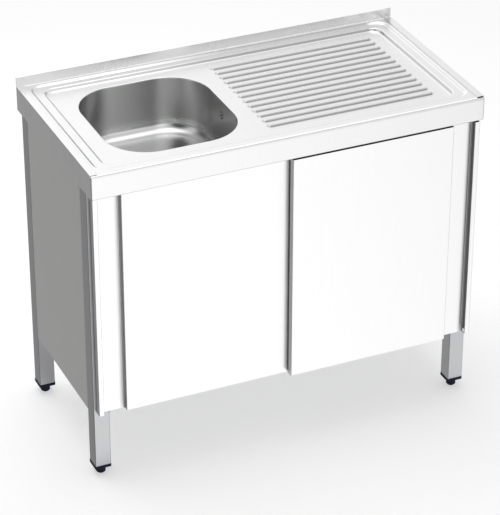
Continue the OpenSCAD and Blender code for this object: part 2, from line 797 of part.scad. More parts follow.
function hanger_xs(w) = [hanger_in, w - hanger_in];
hanger_top = roller_z + roller_r/2 - door_z0;
module hangers(w) {
  color(dull_steel) for (x = hanger_xs(w)) translate([x, 0, 0]) difference() {
    translate([-hanger_w/2, plate_y, door_h - hanger_h]) cube([hanger_w, hanger_t, hanger_top - door_h + hanger_h]);
    translate([0, plate_y - over, roller_z - door_z0]) rotate([-90, 0, 0])
      cylinder(r = axle_r + running, h = hanger_t + 2*over);
  }
}

// axle pins with a head behind each hanger plate
module axle_pins(w) {
  color(bright_steel) for (x = hanger_xs(w)) translate([x, roller_y, roller_z - door_z0]) rotate([-90, 0, 0]) {
    cylinder(r = axle_r, h = roller_w + over + hanger_t);
    translate([0, 0, roller_w + over + hanger_t]) cylinder(r = axle_r + 1.5, h = boss);
  }
}

// rivets from the back skin into the hanger plates
module door_rivets(w) {
  color(bright_steel) for (x = hanger_xs(w), dz = [0.25, 0.75]) translate([x + hanger_w/4, door_t, door_h - dz*hanger_h])
    rotate([-90, 0, 0]) cylinder(r = boss_r, h = boss);
}

module roller(w, i) {
  x = hanger_xs(w)[i];
  color(pale_plastic) translate([x, roller_y, roller_z - door_z0]) rotate([-90, 0, 0]) difference() {
    cylinder(r = roller_r, h = roller_w);
    translate([0, 0, -over]) cylinder(r = axle_r + running, h = roller_w + 2*over);
  }
}

module at_left_door() { translate([-door_out, rear_door_y, door_z0]) children(); }
module at_right_door() { mirror([1, 0, 0]) translate([-door_out, front_door_y, door_z0]) children(); }

module left_door_front() { at_left_door() door_front(rear_door_w); }
module left_door_back() { at_left_door() door_back(rear_door_w); }
module left_door_core() { at_left_door() door_core(rear_door_w); }
module left_hangers() { at_left_door() hangers(rear_door_w); }
module left_axle_pins() { at_left_door() axle_pins(rear_door_w); }
module left_door_rivets() { at_left_door() door_rivets(rear_door_w); }
module left_roller_outer() { at_left_door() roller(rear_door_w, 0); }
module left_roller_inner() { at_left_door() roller(rear_door_w, 1); }
module right_door_front() { at_right_door() door_front(front_door_w); }
module right_door_back() { at_right_door() door_back(front_door_w); }
module right_door_core() { at_right_door() door_core(front_door_w); }
module right_hangers() { at_right_door() hangers(front_door_w); }
module right_axle_pins() { at_right_door() axle_pins(front_door_w); }
module right_door_rivets() { at_right_door() door_rivets(front_door_w); }
module right_roller_outer() { at_right_door() roller(front_door_w, 0); }
module right_roller_inner() { at_right_door() roller(front_door_w, 1); }

worktop();
bowl();
drainer_stiffener_front();
drainer_stiffener_back();
waste_strainer();
waste_screw();
waste_gasket();
waste_body();
overflow_gasket();
overflow_housing();
overflow_pipe();
leg_front_left();
leg_front_right();
leg_back_left();
leg_back_right();
leg_plug_front_left();
leg_plug_front_right();
leg_plug_back_left();
leg_plug_back_right();
foot_front_left();
foot_front_right();
foot_back_left();
foot_back_right();
side_panel_left();
side_panel_right();
back_panel();
bottom_shelf();
shelf_stiffener();
side_rail_left();
side_rail_right();
back_rail();
front_rail();
door_track();
track_screws();
rail_screws();
track_stops();
door_guide();
guide_rivets();
left_door_front();
left_door_back();
left_door_core();
left_hangers();
left_axle_pins();
left_door_rivets();
left_roller_outer();
left_roller_inner();
right_door_front();
right_door_back();
right_door_core();
right_hangers();
right_axle_pins();
right_door_rivets();
right_roller_outer();
right_roller_inner();
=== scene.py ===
import math

import bmesh
import bpy
from mathutils import Matrix, Vector


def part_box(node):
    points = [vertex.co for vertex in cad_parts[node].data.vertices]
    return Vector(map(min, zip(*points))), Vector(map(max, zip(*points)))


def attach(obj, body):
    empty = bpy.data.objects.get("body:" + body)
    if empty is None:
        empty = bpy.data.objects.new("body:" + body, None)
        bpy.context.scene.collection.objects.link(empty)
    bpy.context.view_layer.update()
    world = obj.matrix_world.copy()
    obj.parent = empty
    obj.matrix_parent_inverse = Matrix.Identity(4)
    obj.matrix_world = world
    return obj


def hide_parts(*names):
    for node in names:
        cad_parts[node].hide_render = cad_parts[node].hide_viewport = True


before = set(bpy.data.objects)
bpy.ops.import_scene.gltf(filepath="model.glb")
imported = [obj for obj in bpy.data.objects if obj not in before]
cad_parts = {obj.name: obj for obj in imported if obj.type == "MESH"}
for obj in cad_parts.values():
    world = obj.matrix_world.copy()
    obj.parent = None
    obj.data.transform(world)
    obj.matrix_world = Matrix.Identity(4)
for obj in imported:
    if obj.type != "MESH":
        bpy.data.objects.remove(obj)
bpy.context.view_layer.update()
mm = 0.001  # pieces are measured in millimetres, the studio in metres
weld = 0.002  # points nearer than this become one
white = (1.0, 1.0, 1.0, 1.0)


def span(node):
    lo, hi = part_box(node)
    return lo / mm, hi / mm


def middleOf(node):
    # the middle of its box, seen from above
    lo, hi = span(node)
    return (lo.x + hi.x) / 2, (lo.y + hi.y) / 2


# Shader and geometry nodes from plain Python

class Wire:
    # one output socket, usable in sums
    def __init__(self, tree, socket):
        self.tree = tree
        self.socket = socket

    def math(self, operation, *values):
        return self.tree.add("ShaderNodeMath", {"operation": operation}, values)

    def __add__(self, other):
        return self.math("ADD", self, other)

    def __radd__(self, other):
        return self.math("ADD", other, self)

    def __sub__(self, other):
        return self.math("SUBTRACT", self, other)

    def __rsub__(self, other):
        return self.math("SUBTRACT", other, self)

    def __mul__(self, other):
        return self.math("MULTIPLY", self, other)

    def __rmul__(self, other):
        return self.math("MULTIPLY", other, self)

    def __truediv__(self, other):
        return self.math("DIVIDE", self, other)

    def __pow__(self, other):
        return self.math("POWER", self, other)

    def __neg__(self):
        return self.math("MULTIPLY", self, -1.0)

    def fraction(self):
        return self.math("FRACT", self)

    def size(self):
        return self.math("ABSOLUTE", self)

    def above(self, least):
        return self.math("MAXIMUM", self, least)

    def clamped(self):
        return self.tree.add("ShaderNodeClamp", {}, [self, 0.0, 1.0])

    def smooth(self, low, high):
        # from 0 at low to 1 at high
        inputs = {"Value": self, "From Min": low, "From Max": high}
        return self.tree.add("ShaderNodeMapRange", {"interpolation_type": "SMOOTHSTEP"}, inputs)


class NodeTree:
    # settings are set first, then sockets get values or wires
    def __init__(self, tree):
        self.tree = tree

    def add(self, kind, settings=None, inputs=None, output=0):
        node = self.tree.nodes.new(kind)
        for name, value in (settings or {}).items():
            setattr(node, name, value)
        pairs = inputs.items() if isinstance(inputs, dict) else enumerate(inputs or [])
        for name, value in pairs:
            if isinstance(value, Wire):
                self.link(value, node, name)
            else:
                node.inputs[name].default_value = value
        return Wire(self, node.outputs[output]) if node.outputs else node

    def link(self, wire, node, name):
        self.tree.links.new(wire.socket, node.inputs[name])

    def split(self, vector):
        # the vector's X, Y and Z
        parts = self.add("ShaderNodeSeparateXYZ", {}, [vector]).socket.node
        return [Wire(self, parts.outputs[axis]) for axis in "XYZ"]


def rgba(colour):
    return (*colour, 1.0)


class Finish(NodeTree):
    # a material with one Principled shader
    def __init__(self, name, constants):
        self.material = bpy.data.materials.new(name)
        self.material.use_nodes = True
        super().__init__(self.material.node_tree)
        self.shader = self.tree.nodes["Principled BSDF"]
        for key, value in constants.items():
            self.shader.inputs[key].default_value = value
        self.place = self.add("ShaderNodeTexCoord", output="Object")

    def places(self):
        # X, Y and Z in millimetres
        return [axis / mm for axis in self.split(self.place)]

    def noise(self, stretch=(1.0, 1.0, 1.0), scale=1.0, detail=3.0, roughness=0.6):
        stretched = self.add("ShaderNodeVectorMath", {"operation": "MULTIPLY"}, [self.place, stretch])
        inputs = {"Vector": stretched, "Scale": scale, "Detail": detail, "Roughness": roughness}
        return self.add("ShaderNodeTexNoise", {}, inputs)

    def mixColour(self, factor, first, second):
        return self.add("ShaderNodeMix", {"data_type": "RGBA"}, {0: factor, 6: first, 7: second}, 2)

    def shades(self, tone, look):
        # from the darker to the lighter shade of the look's colour
        dark = [k * look["darker"] for k in look["colour"]]
        light = [min(k * look["lighter"], 1.0) for k in look["colour"]]
        return self.mixColour(tone, rgba(dark), rgba(light))

    def wear(self, colour, roughness, height, strength):
        self.link(colour, self.shader, "Base Color")
        self.link(roughness, self.shader, "Roughness")
        bump = self.add("ShaderNodeBump", {}, {"Strength": strength, "Distance": 0.2 * mm, "Height": height})
        self.link(bump, self.shader, "Normal")
        return self.material


alongX = (6.0, 900.0, 900.0)  # the stretch of a brushing: a small number runs along it
alongZ = (900.0, 900.0, 6.0)
acrossTop = (900.0, 7.0, 7.0)  # from the front to the back, so upright on the upstand and the apron

steelLook = {
    "colour": (0.86, 0.865, 0.87), "darker": 0.93, "lighter": 1.05, "grain": acrossTop, "grainTone": 0.9,
    "fineGrain": 3.1, "fineShare": 0.4, "cloudScale": 5.0, "cloudTone": 0.5, "roughness": 0.33,
    "roughGrain": 0.12, "roughCloud": 0.08, "bump": 0.12, "shade": None, "shadeColour": (0.36, 0.36, 0.36),
    "shadeRough": 0.0,
}
mouldedLook = {
    "darker": 0.93, "lighter": 1.05, "speckTone": 0.8, "cloudTone": 0.9, "roughSpeck": 0.15, "gloss": 0.3,
}


def steel(name, **changes):
    look = {**steelLook, **changes}
    finish = Finish(name, {"Metallic": 1.0})
    grain = finish.noise(look["grain"], detail=4.0, roughness=0.7)
    fine = finish.noise([look["fineGrain"] * k for k in look["grain"]], detail=2.0)
    cloud = finish.noise(scale=look["cloudScale"])
    tone = (grain - 0.5) * look["grainTone"] + (cloud - 0.5) * look["cloudTone"] + 0.5
    colour = finish.shades(tone.clamped(), look)
    roughness = look["roughness"] + (grain - 0.5) * look["roughGrain"] + (cloud - 0.5) * look["roughCloud"]
    # where a look has a shade mask, painted shade is mixed into its colour
    if look["shade"]:
        share = look["shade"](finish)
        colour = finish.mixColour(share, colour, rgba(look["shadeColour"]))
        roughness = roughness + share * look["shadeRough"]
    height = grain * (1 - look["fineShare"]) + fine * look["fineShare"]
    return finish.wear(colour, roughness, height, look["bump"])


def moulded(name, **changes):
    look = {**mouldedLook, **changes}
    finish = Finish(name, {"Specular IOR Level": look["gloss"]})
    speck = finish.noise(scale=look["speckScale"], detail=4.0)
    cloud = finish.noise(scale=look["cloudScale"], detail=2.0)
    tone = (speck - 0.5) * look["speckTone"] + (cloud - 0.5) * look["cloudTone"] + 0.5
    roughness = look["roughness"] + (speck - 0.5) * look["roughSpeck"]
    return finish.wear(finish.shades(tone.clamped(), look), roughness, speck, look["bump"])


print("finishes")
sideFinish = steel("side sheet steel", colour=(0.88, 0.885, 0.87), grain=alongZ)
backFinish = steel("back sheet steel", colour=(0.66, 0.67, 0.67), grain=alongZ)
shelfFinish = steel("shelf sheet steel", colour=(0.66, 0.67, 0.67), grain=alongX)
legFinish = steel("leg tube steel", colour=(0.54, 0.545, 0.56), grain=alongZ, roughness=0.30)
frameFinish = steel("frame tube steel", colour=(0.62, 0.64, 0.66), grain=alongX, roughness=0.38)
trackFinish = steel("rolled track steel", colour=(0.62, 0.63, 0.64), grain=alongX, roughness=0.36, bump=0.08)
platedFinish = steel(
    "bright plated steel", colour=(0.80, 0.80, 0.81), grain=(400.0, 400.0, 400.0), roughness=0.18,
    roughGrain=0.05, bump=0.03,
)
blueFinish = moulded(
    "navy moulding", colour=(0.004, 0.008, 0.030), darker=0.8, lighter=1.25, speckScale=900.0,
    cloudScale=60.0, roughness=0.5, bump=0.08, gloss=0.2,
)
paleFinish = moulded(
    "pale moulding", colour=(0.78, 0.78, 0.75), speckScale=700.0, cloudScale=30.0, roughness=0.42, bump=0.06,
    gloss=0.5,
)
rubberFinish = moulded(
    "black rubber", colour=(0.035, 0.035, 0.038), darker=0.7, lighter=1.4, speckScale=1100.0,
    cloudScale=40.0, roughness=0.72, roughSpeck=0.2, bump=0.2,
)
boardFinish = moulded(
    "light fibreboard", colour=(0.58, 0.47, 0.33), darker=0.75, lighter=1.2, speckScale=500.0,
    cloudScale=18.0, roughness=0.80, bump=0.4,
)


# Mesh building, in millimetres until a piece is finished

def arc(centre, radius, start, end, steps):
    # points on a circle, angles in degrees
    angles = [math.radians(start + (end - start) * i / steps) for i in range(steps + 1)]
    return [(centre[0] + radius * math.cos(a), centre[1] + radius * math.sin(a)) for a in angles]


def roundRect(width, length, radius, z, centre, steps=12, between=()):
    # anticlockwise seen from above, with points at the given shares of each straight side
    points = []
    for k, (sx, sy) in enumerate(((1, 1), (-1, 1), (-1, -1), (1, -1))):
        middle = (centre[0] + sx * (width / 2 - radius), centre[1] + sy * (length / 2 - radius))
        points += [(x, y, z) for x, y in arc(middle, radius, 90 * k, 90 * (k + 1), steps)]
        x, y = points[-1][:2]
        a = math.radians(90 * (k + 1))
        straight = (length if k % 2 else width) - 2 * radius
        for share in between:
            points.append((x - math.sin(a) * straight * share, y + math.cos(a) * straight * share, z))
    return points


def addLoop(bm, points):
    return [bm.verts.new(p) for p in points]


def loft(bm, first, second):
    # a closed band of faces, upwards where first lies outside second
    for i in range(len(first)):
        j = (i + 1) % len(first)
        bm.faces.new((first[i], first[j], second[j], second[i]))


def loftAll(bm, rings):
    for first, second in zip(rings, rings[1:]):
        loft(bm, first, second)


def loftOpen(bm, lines, isOpen=lambda column, row: False):
    # faces between open lines, apart from the open places
    for j, (a, b) in enumerate(zip(lines, lines[1:])):
        for i in range(len(a) - 1):
            if not isOpen(j, i):
                bm.faces.new((a[i], b[i], b[i + 1], a[i + 1]))


def revolve(bm, profile, centre, steps):
    circles = [[(x, y, z) for x, y in arc(centre, radius, 0, 360, steps)[:-1]] for radius, z in profile]
    loftAll(bm, [addLoop(bm, circle) for circle in circles])


def bentPath(corners, steps=5):
    # corners are (x, y, bend radius), the ends without a bend
    path = [corners[0][:2]]
    for before, (x, y, radius), after in zip(corners, corners[1:], corners[2:]):
        corner = Vector((x, y))
        a = (Vector(before[:2]) - corner).normalized()
        b = (Vector(after[:2]) - corner).normalized()
        half = a.angle(b) / 2
        reach = radius / math.tan(half)
        middle = corner + (a + b).normalized() * radius / math.sin(half)
        start, end = corner + a * reach - middle, corner + b * reach - middle
        turn = math.atan2(start.x * end.y - start.y * end.x, start.dot(end))
        for i in range(steps + 1):
            c, s = math.cos(turn * i / steps), math.sin(turn * i / steps)
            path.append((middle.x + start.x * c - start.y * s, middle.y + start.x * s + start.y * c))
    path.append(corners[-1][:2])
    return path


def innerPath(path, thickness):
    # the other face of the sheet, to the left of the path
    points = []
    for i, (x, y) in enumerate(path):
        before = Vector(path[i]) - Vector(path[i - 1]) if i else Vector(path[1]) - Vector(path[0])
        after = Vector(path[i + 1]) - Vector(path[i]) if i + 1 < len(path) else before
        n1 = Vector((-before.y, before.x)).normalized()
        n2 = Vector((-after.y, after.x)).normalized()
        n = (n1 + n2) / (1 + n1.dot(n2))
        points.append((x + n.x * thickness, y + n.y * thickness))
    return points


def sheetStrip(bm, path, thickness, place, low, high):
    # a folded sheet: its section swept from low to high
    inside = innerPath(path, thickness)
    outerLow, innerLow, outerHigh, innerHigh = (
        addLoop(bm, [place(u, v, w) for u, v in line]) for w in (low, high) for line in (path, inside))
    for i in range(len(path) - 1):
        bm.faces.new((outerLow[i], outerLow[i + 1], outerHigh[i + 1], outerHigh[i]))
        bm.faces.new((innerLow[i + 1], innerLow[i], innerHigh[i], innerHigh[i + 1]))
        bm.faces.new((outerLow[i + 1], outerLow[i], innerLow[i], innerLow[i + 1]))
        bm.faces.new((outerHigh[i], outerHigh[i + 1], innerHigh[i + 1], innerHigh[i]))
    for i in (0, -1):
        bm.faces.new((outerLow[i], outerHigh[i], innerHigh[i], innerLow[i]))


def slab(bm, one, other):
    # a flat piece of sheet with square edges, between two opposite corners
    made = bmesh.ops.create_cube(bm, size=1.0)["verts"]
    size = [abs(b - a) for a, b in zip(one, other)]
    middle = [(a + b) / 2 for a, b in zip(one, other)]
    for v in made:
        v.co = Vector([m + c * s for m, c, s in zip(middle, v.co, size)])


def addToScene(name, data):
    thing = bpy.data.objects.new(name, data)
    bpy.context.scene.collection.objects.link(thing)
    return thing


def meshOf(name, bm, closed=True):
    bmesh.ops.remove_doubles(bm, verts=bm.verts, dist=weld)
    if closed:
        bmesh.ops.recalc_face_normals(bm, faces=bm.faces)
    bmesh.ops.scale(bm, vec=(mm, mm, mm), verts=bm.verts)
    mesh = bpy.data.meshes.new(name)
    bm.to_mesh(mesh)
    bm.free()
    return addToScene(name, mesh)


def settle(piece):
    # modifiers become the plain mesh
    graph = bpy.context.evaluated_depsgraph_get()
    mesh = bpy.data.meshes.new_from_object(piece.evaluated_get(graph))
    piece.modifiers.clear()
    piece.data = mesh
    return piece


def thicken(piece, thickness):
    solid = piece.modifiers.new("sheet", "SOLIDIFY")
    solid.thickness = thickness * mm
    solid.offset = -1.0
    solid.use_even_offset = True
    solid.thickness_clamp = 0.0
    return settle(piece)


def cutBy(piece, cutter):
    cut = piece.modifiers.new("cut", "BOOLEAN")
    cut.operation = "DIFFERENCE"
    cut.solver = "EXACT"
    cut.object = cutter
    settle(piece)
    bpy.data.objects.remove(cutter)
    return piece


def dress(piece, finish, body, nodes, sharpAngle=40.0, bevel=0.0, even=True):
    piece.data.materials.clear()
    piece.data.materials.append(finish)
    if bevel:
        edge = piece.modifiers.new("edge", "BEVEL")
        edge.width = bevel * mm
        edge.segments = 2
        edge.limit_method = "ANGLE"
        edge.angle_limit = math.radians(50)
        settle(piece)
    piece.data.shade_smooth()
    piece.data.set_sharp_from_angle(angle=math.radians(sharpAngle))
    if even:
        evened = piece.modifiers.new("even", "WEIGHTED_NORMAL")
        evened.keep_sharp = True
        evened.weight = 80
    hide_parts(*nodes)
    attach(piece, body)


class Build(NodeTree):
    # a Geometry Nodes tree with named inputs
    def __init__(self, name, inputs):
        group = bpy.data.node_groups.new(name, "GeometryNodeTree")
        group.interface.new_socket("Geometry", in_out="INPUT", socket_type="NodeSocketGeometry")
        for key, value in inputs.items():
            kind = "NodeSocketInt" if isinstance(value, int) else "NodeSocketFloat"
            group.interface.new_socket(key, in_out="INPUT", socket_type=kind)
        group.interface.new_socket("Geometry", in_out="OUTPUT", socket_type="NodeSocketGeometry")
        super().__init__(group)
        self.values = inputs
        self.start = self.add("NodeGroupInput").socket.node

    def input(self, name):
        return Wire(self, self.start.outputs[name])

    def drill(self, radius, depth, sides):
        inputs = {"Vertices": sides, "Radius": radius, "Depth": depth * mm}
        return self.add("GeometryNodeMeshCylinder", {}, inputs)

    def ringOf(self, part, count, radius):
        ring = self.add("GeometryNodeMeshCircle", {}, {"Vertices": count, "Radius": radius})
        return self.add("GeometryNodeInstanceOnPoints", {}, {"Points": ring, "Instance": part})

    def joined(self, *wires):
        whole = self.add("GeometryNodeJoinGeometry")
        for wire in wires:
            self.link(wire, whole.socket.node, 0)
        return whole

    def placed(self, wire, x, y, z, turn=0.0):
        # turned about Y, then moved
        inputs = {"Geometry": wire, "Translation": (x * mm, y * mm, z * mm), "Rotation": (0, turn, 0)}
        return self.add("GeometryNodeTransform", {}, inputs)

    def finish(self, wire, material):
        real = self.add("GeometryNodeRealizeInstances", {}, {"Geometry": wire})
        merged = self.add("GeometryNodeMergeByDistance", {}, {"Geometry": real, "Distance": 0.01 * mm})
        done = self.add("GeometryNodeSetMaterial", {}, {"Geometry": merged, "Material": material})
        self.add("NodeGroupOutput", {}, {"Geometry": done})

    def applyTo(self, piece):
        modifier = piece.modifiers.new("build", "NODES")
        modifier.node_group = self.tree
        for item in self.tree.interface.items_tree:
            if item.in_out == "INPUT" and item.name in self.values:
                modifier[item.identifier] = self.values[item.name]
        return settle(piece)


# Worktop: plate, two pressed steps, ribs, rolled bowl edge, apron, skirts and upstand

topLow, topHigh = span("worktop")
plateZ = 840.0  # the rim's height above the floor
worktop = {
    "sheet": 1.2, "noseRadius": 8.0, "notch": 5.5, "notchDepth": 1.7, "edgeRadius": 3.0, "edgeSteps": 4,
    "upstandFillet": 2.0, "upstandThickness": 2.6, "rollRadius": 1.6, "rollFoot": 1.5, "rollLead": 0.8,
    "hemWidth": 18.0, "hemRise": 1.6, "hemSheet": 0.7, "hemInnerBend": 0.7, "hemOuterBend": 0.9,
    "hemGap": 0.02, "lip": 12.0, "lipEdge": 0.3,
}
step = {"side": 31.0, "front": 31.0, "back": 18.0, "drop": 4.0, "run": 7.0, "corner": 24.0, "shade": 0.9}
tray = {"side": 58.0, "front": 52.0, "back": 40.0, "drop": 7.0, "run": 8.0, "corner": 21.0, "shade": 0.66}
ribs = {
    "count": 13, "pitch": 27.8, "width": 14.0, "rise": 4.0, "baseFillet": 1.5, "lead": 1.0, "startX": -28.0,
    "endX": 407.0, "middleY": 5.0, "border": 9.0, "endSteps": 10,
}
shading = {
    "flankRise": (-6.0, -3.5), "flankFall": (0.5, 2.0), "rowFade": (0.0, 1.0), "endFade": (0.0, 5.0),
    "endShare": 0.7, "slopeFade": 1.5, "slopeLift": 1.0, "slopeFrom": (-300.0, 100.0),
    "slopeEnd": (57.0, 78.0), "upstandReach": 26.0, "upstandFoot": (2.0, 6.0), "upstandShade": 0.6,
    "footLine": (1.1, 2.1), "footDepth": (1.0, 3.0), "footShade": 0.8,
}
trayZ = plateZ - step["drop"] - tray["drop"]


def ribFlankShade(x, y):
    # painted shade on the ribs' front flanks, fading at their ends
    half, reach = ribs["width"] / 2, ribs["count"] * ribs["pitch"] / 2
    straight = (ribs["endX"] - ribs["startX"]) / 2 - half
    past = (x - (ribs["endX"] + ribs["startX"]) / 2).size().above(straight) - straight
    row = (((y - ribs["middleY"]) / ribs["pitch"] + 0.5).fraction() - 0.5) * ribs["pitch"]
    away = (past * past + row * row) ** 0.5 - half
    flank = away.smooth(*shading["flankRise"]) * (1 - away.smooth(*shading["flankFall"]))
    outside = ((y - ribs["middleY"]).size() - reach).smooth(*shading["rowFade"])
    return flank * (1 - outside) * (1 - past.smooth(*shading["endFade"]) * shading["endShare"])


def backSlopeShade(x, y):
    # painted shade on the two steps along the back of the pan, darker towards the right
    along = x.smooth(*shading["slopeFrom"]) * (topHigh.x - x).smooth(*shading["slopeEnd"])
    fade = shading["slopeFade"]
    shares = []
    for shape in (step, tray):
        middle = topHigh.y - shape["back"] + shape["run"] / 2 + shading["slopeLift"]
        away = (y - middle).size() - shape["run"] / 2
        shares.append((1 - away.smooth(-fade, fade)) * along * shape["shade"])
    return shares[0] + shares[1]


def paintedSheetShade(finish):
    # painted shade: the ribs' front flanks, the back steps, the upstand's right end and a line for the shadow
    # along the apron's foot are darkened in the colour
    x, y, z = finish.places()
    end = (x - topHigh.x).smooth(-shading["upstandReach"], 0.0) * (z - plateZ).smooth(*shading["upstandFoot"])
    footLine = 1 - (z - topLow.z).smooth(*shading["footLine"])
    foot = footLine * (1 - (y - topLow.y).smooth(*shading["footDepth"]))
    drawn = ribFlankShade(x, y).above(backSlopeShade(x, y))
    return drawn.above(end * shading["upstandShade"]).above(foot * shading["footShade"])


# the worktop's colour carries painted shade on the rib flanks, back steps, upstand end and apron foot
worktopFinish = steel(
    "brushed worktop steel", colour=(0.88, 0.88, 0.88), roughness=0.28, roughGrain=0.05, grainTone=0.3,
    bump=0.04, shade=paintedSheetShade,
)


def stepCurve(drop, run, steps=8, lead=0.8):
    # inward distance and depth down one pressed step, with a flat lead at both ends
    shares = [i / steps for i in range(steps + 1)]
    slope = [(run * t, -drop * t * t * (3 - 2 * t)) for t in shares]
    return [(-lead, 0.0)] + slope + [(run + lead, -drop)]


def pressedRings(bm, shape, z):
    # the slope's lower end lies on the shape's own outline
    front, back = topLow.y + shape["front"], topHigh.y - shape["back"]
    rings = []
    for inward, depth in stepCurve(shape["drop"], shape["run"]):
        grow = shape["run"] - inward
        size = (2 * (topHigh.x - shape["side"] + grow), back - front + 2 * grow)
        outline = roundRect(*size, shape["corner"] + grow, z + depth, (0, (front + back) / 2))
        rings.append(addLoop(bm, outline))
    loftAll(bm, rings)
    return rings


def ribSection():
    # outward distance from the rib's middle line and height, from the flat sheet up to the crest
    half, rise, fillet = ribs["width"] / 2, ribs["rise"], ribs["baseFillet"]
    radius = (half * half + rise * rise) / (2 * rise)
    centreZ = rise - radius
    footX = math.sqrt((radius + fillet) ** 2 - (fillet - centreZ) ** 2)
    slope = math.degrees(math.atan2(fillet - centreZ, footX))
    base = arc((footX, fillet), fillet, 270, 180 + slope, 3)
    return [(footX + ribs["lead"], 0.0)] + base + arc((0.0, centreZ), radius, slope, 90, 7)[1:-1]


def ribCell():
    # one rib in its strip of flat sheet, about the rib's own middle line
    bm = bmesh.new()
    left, right = ribs["startX"] + ribs["width"] / 2, ribs["endX"] - ribs["width"] / 2
    steps = ribs["endSteps"]
    rings = []
    for reach, height in ribSection():
        plan = arc((right, 0), reach, -90, 90, steps) + arc((left, 0), reach, 90, 270, steps)
        rings.append(addLoop(bm, [(x, y, height) for x, y in plan]))
    loftAll(bm, rings)
    crestRight, crestLeft = addLoop(bm, [(right, 0, ribs["rise"]), (left, 0, ribs["rise"])])
    top = rings[-1]
    for i in range(steps):
        bm.faces.new((top[i], top[i + 1], crestRight))
        bm.faces.new((top[steps + 1 + i], top[steps + 2 + i], crestLeft))
    bm.faces.new((top[steps], top[steps + 1], crestLeft, crestRight))
    bm.faces.new((top[-1], top[0], crestRight, crestLeft))
    x0, x1, y1 = ribs["startX"] - ribs["border"], ribs["endX"] + ribs["border"], ribs["pitch"] / 2
    corners = addLoop(bm, [(x0, -y1, 0), (x1, -y1, 0), (x1, y1, 0), (x0, y1, 0)])
    edges = [bm.edges.new((corners[i], corners[(i + 1) % 4])) for i in range(4)]
    fillFlat(bm, edges + ringEdges(rings[0]))
    return meshOf("ribCell", bm, closed=False)


def ringEdges(ring):
    pairs = zip(ring, ring[1:] + ring[:1])
    return [e for v, other in pairs for e in v.link_edges if e.other_vert(v) is other]


def flatEdges(bm, z):
    # open edges at one height
    return [e for e in bm.edges if e.is_boundary and all(abs(v.co.z - z) < 0.01 for v in e.verts)]


def fillFlat(bm, edges):
    made = bmesh.ops.triangle_fill(bm, use_beauty=True, use_dissolve=False, edges=edges, normal=(0, 0, 1))
    for f in made["geom"]:
        if isinstance(f, bmesh.types.BMFace):
            f.normal_update()
            if f.normal.z < 0:
                f.normal_flip()


def ribField():
    # the cells side by side, joined where they meet
    field = Build("rib rows", {"Ribs": ribs["count"], "Pitch": ribs["pitch"] * mm})
    first = (field.input("Ribs") - 1) * field.input("Pitch") * -0.5
    start = field.add("ShaderNodeCombineXYZ", {}, {"Y": first})
    offset = field.add("ShaderNodeCombineXYZ", {}, {"Y": field.input("Pitch")})
    rows = {"Count": field.input("Ribs"), "Start Location": start, "Offset": offset}
    line = field.add("GeometryNodeMeshLine", {"mode": "OFFSET"}, rows)
    cell = field.add("GeometryNodeGeometryToInstance", {}, {"Geometry": field.input("Geometry")})
    placed = field.add("GeometryNodeInstanceOnPoints", {}, {"Points": line, "Instance": cell})
    field.finish(placed, worktopFinish)
    return field.applyTo(ribCell())


def noseOutline(inset):
    # from the apron's foot up and over the front, inset from the outer faces
    radius, bend, front = worktop["noseRadius"], worktop["sheet"], topLow.y + inset
    notchLow = math.degrees(math.asin(1 - worktop["notchDepth"] / radius))
    notchHigh = math.degrees(math.acos((radius - worktop["notch"]) / radius))
    foot = [(front + bend, topLow.z), (front + 0.3 * bend, topLow.z + 0.3 * bend), (front, topLow.z + bend)]
    centre, reach = (topLow.y + radius, plateZ - radius), radius - inset
    below = arc(centre, reach, 180, 180 - notchLow, 3)
    notch = arc(centre, reach, 180 - notchLow, 180 - notchHigh, 3)[1:]
    return foot + below + notch + [(centre[0], centre[1] + reach)]


def foldFront(bm):
    # apron, nose and the two strips under the hems, with their ends rounded into the skirts
    edge, half, steps = worktop["edgeRadius"], topHigh.x, worktop["edgeSteps"]
    plateBack = topHigh.y - worktop["upstandThickness"] - worktop["upstandFillet"]
    corner = [(x - half, inset) for x, inset in arc((edge, edge), edge, 180, 270, steps)]
    strips = [(worktop["hemWidth"] - half, 0.0), (half - worktop["hemWidth"], 0.0)]
    lines = []
    for x, inset in corner + strips + [(-x, inset) for x, inset in reversed(corner)]:
        outline = noseOutline(inset) + [(plateBack, plateZ - inset)]
        lines.append(addLoop(bm, [(x, y, z) for y, z in outline]))
    plateRow = len(lines[0]) - 2
    notchRows = (6, 7, 8)  # the nose outline's steps between the notch's two ends

    def isOpen(column, row):
        # the plate, which is filled later, and the front end of the right hem
        isPlate = row == plateRow and steps <= column <= steps + 2
        return isPlate or (column == steps + 2 and row in notchRows)

    loftOpen(bm, lines, isOpen)
    return lines


def foldBack(bm):
    # from the plate up the upstand, over its folded edge and down the back
    fillet, thick = worktop["upstandFillet"], worktop["upstandThickness"]
    outline = arc((topHigh.y - thick - fillet, plateZ + fillet), fillet, 270, 360, 5)
    outline += arc((topHigh.y - thick / 2, topHigh.z - thick / 2), thick / 2, 180, 0, 8)
    outline.append((topHigh.y, topLow.z))
    half, inner = topHigh.x, topHigh.x - worktop["edgeRadius"]
    lines = [addLoop(bm, [(x, y, z) for y, z in outline]) for x in (-half, -inner, inner, half)]
    loftOpen(bm, lines)
    return lines


def closeSkirts(bm, front, back):
    # the sides, closed behind the rounded edge
    count = worktop["edgeSteps"] + 1
    bm.faces.new(front[0] + back[0])
    bm.faces.new([line[-1] for line in front[:count]] + [back[0][0]])
    bm.faces.new((front[-1] + back[-1])[::-1])
    bm.faces.new([line[-1] for line in front[-count:]] + [back[-1][0]])
    bmesh.ops.remove_doubles(bm, verts=bm.verts, dist=weld)


def rollOpening(bm):
    # rolled edge of the bowl's opening
    roll = worktop["rollRadius"]
    profile = [(roll + worktop["rollLead"], 0.0)] + arc((roll, -roll), roll, 90, 180, 5)
    profile.append((0.0, -roll - worktop["rollFoot"]))
    loftAll(bm, [bowlRing(bm, -outward, trayZ + depth) for outward, depth in profile])


